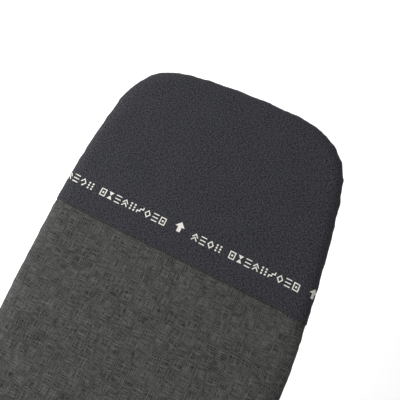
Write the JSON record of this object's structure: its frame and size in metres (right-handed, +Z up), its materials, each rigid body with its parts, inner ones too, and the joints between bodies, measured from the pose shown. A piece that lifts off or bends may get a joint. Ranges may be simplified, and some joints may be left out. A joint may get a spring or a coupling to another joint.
{
  "type": "ironing board",
  "caption": "Folding ironing board: padded fabric cover with a dark heat-resistant end panel on a steel mesh table, crossed tube legs, sliding carriage and release lever.",
  "frame": {"origin": "on the floor, under the middle of the table's length and width", "axes": "+X along the table to its square, heat-resistant end, +Y across it, +Z up"},
  "size_m": [1.248, 0.458, 0.9455],
  "materials": {
    "leg_paint": "satin",
    "table_paint": "satin",
    "mesh_paint": "satin",
    "zinc_plate": "satin",
    "bright_steel": "satin",
    "zinc_fasteners": "satin",
    "spring_steel": "satin",
    "bearing_plastic": "satin",
    "grip_plastic": "matte",
    "cap_plastic": "matte",
    "felt": "matte",
    "foam": "matte",
    "cover_fabric": "matte",
    "heat_fabric": "matte",
    "elastic": "matte"
  },
  "bodies": {
    "table": {"cover_heat_zone": "heat_fabric", "cover_main": "cover_fabric", "felt_underlay": "felt", "foam_pad": "foam", "guide_rod": "bright_steel", "hem_elastic": "elastic", "hinge_bearing_left": "bearing_plastic", "hinge_bearing_right": "bearing_plastic", "hinge_screws": "zinc_fasteners", "hook_bracket": "zinc_plate", "hook_pin": "bright_steel", "mesh_top": "mesh_paint", "rail_left": "zinc_plate", "rail_right": "zinc_plate", "rail_stops": "bearing_plastic", "rib_centre": "table_paint", "rib_front_rail": "table_paint", "rib_hinge": "table_paint", "rib_middle_rail": "table_paint", "rib_nose": "table_paint", "rib_rear_rail": "table_paint", "rim_tube_left": "table_paint", "rim_tube_right": "table_paint", "rod_brackets": "zinc_plate"},
    "outer_frame": {"outer_leg_left": "leg_paint", "outer_leg_right": "leg_paint", "outer_foot_bar": "leg_paint", "outer_foot_cap_left": "cap_plastic", "outer_foot_cap_right": "cap_plastic", "outer_tube_plugs": "cap_plastic", "outer_hinge_lugs": "leg_paint", "outer_hinge_tube": "leg_paint", "outer_brace": "leg_paint", "pivot_bolts": "zinc_fasteners", "pivot_nuts": "zinc_fasteners", "pivot_spacers": "bearing_plastic"},
    "inner_frame": {"inner_leg_left": "leg_paint", "inner_leg_right": "leg_paint", "inner_foot_bar": "leg_paint", "inner_foot_cap_left": "cap_plastic", "inner_foot_cap_right": "cap_plastic", "inner_tube_plugs": "cap_plastic", "inner_axle_lugs": "leg_paint", "inner_brace": "leg_paint", "slider_axle": "bright_steel", "axle_caps": "bearing_plastic"},
    "carriage": {"slider_left": "bearing_plastic", "slider_right": "bearing_plastic", "slider_screws": "zinc_fasteners", "carriage_plate": "zinc_plate", "lever_spring": "spring_steel"},
    "release_lever": {"lever_shaft": "bright_steel", "clamp_plate": "bright_steel", "lever_grip": "grip_plastic", "shaft_clips": "zinc_fasteners"},
    "transport_hook": {"transport_hook": "grip_plastic"}
  },
  "joints": [
    {"name": "leg_fold", "type": "hinge", "parent": "table", "child": "outer_frame", "pos_m": [-0.35, 0, 0.90346], "axis": [0, -1, 0], "range_deg": [0, 54]},
    {"name": "scissor", "type": "hinge", "parent": "outer_frame", "child": "inner_frame", "pos_m": [-0.10117, 0, 0.52184], "axis": [0, -1, 0], "range_deg": [-108, 0]},
    {"name": "carriage_hinge", "type": "hinge", "parent": "inner_frame", "child": "carriage", "pos_m": [0.14767, 0, 0.90346], "axis": [0, -1, 0], "range_deg": [0, 54]},
    {"name": "lever_squeeze", "type": "hinge", "parent": "carriage", "child": "release_lever", "pos_m": [0.09767, 0, 0.90346], "axis": [0, 1, 0], "range_deg": [0, 10], "stiffness_Nm_per_rad": 1.5, "springref_deg": -17.19},
    {"name": "hook_swing", "type": "hinge", "parent": "table", "child": "transport_hook", "pos_m": [-0.48, 0, 0.91646], "axis": [0, 1, 0], "range_deg": [0, 120]}
  ],
  "couplings": [
    {"joint": "scissor", "follows": "leg_fold", "ratio": -2},
    {"joint": "carriage_hinge", "follows": "leg_fold", "ratio": 1}
  ]
}
